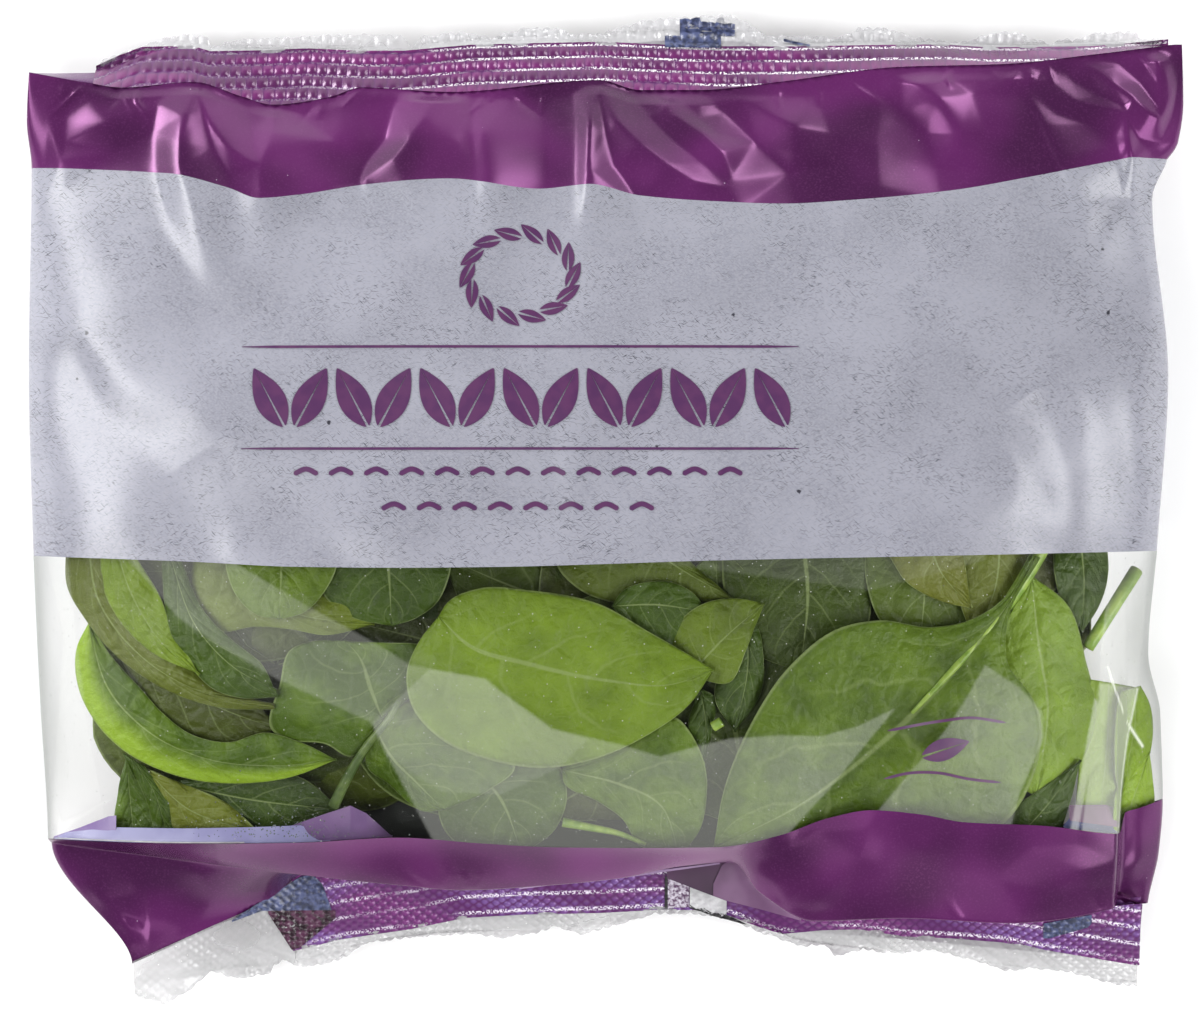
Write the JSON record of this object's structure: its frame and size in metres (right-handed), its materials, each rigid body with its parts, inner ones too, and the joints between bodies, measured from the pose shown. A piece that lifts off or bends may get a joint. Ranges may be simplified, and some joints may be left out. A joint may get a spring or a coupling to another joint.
{
  "type": "bag of spinach",
  "caption": "Sealed flow-wrap film bag of baby spinach, lying flat, with crimped end seals, printed bands and a clear window.",
  "frame": {"origin": "on the floor under the middle of the bag's box", "axes": "+X along the seals to the right, +Y to the top seal, +Z out of the printed face"},
  "size_m": [0.253, 0.2156, 0.0513],
  "materials": {
    "printed_film": "glossy purple printed polypropylene film",
    "paper_print_film": "satin pale grey print with the look of recycled paper",
    "clear_film": "clear glossy polypropylene film",
    "leaf": "waxy satin leaf"
  },
  "bodies": {
    "root": {"spinach_bag": "printed_film"}
  },
  "joints": []
}
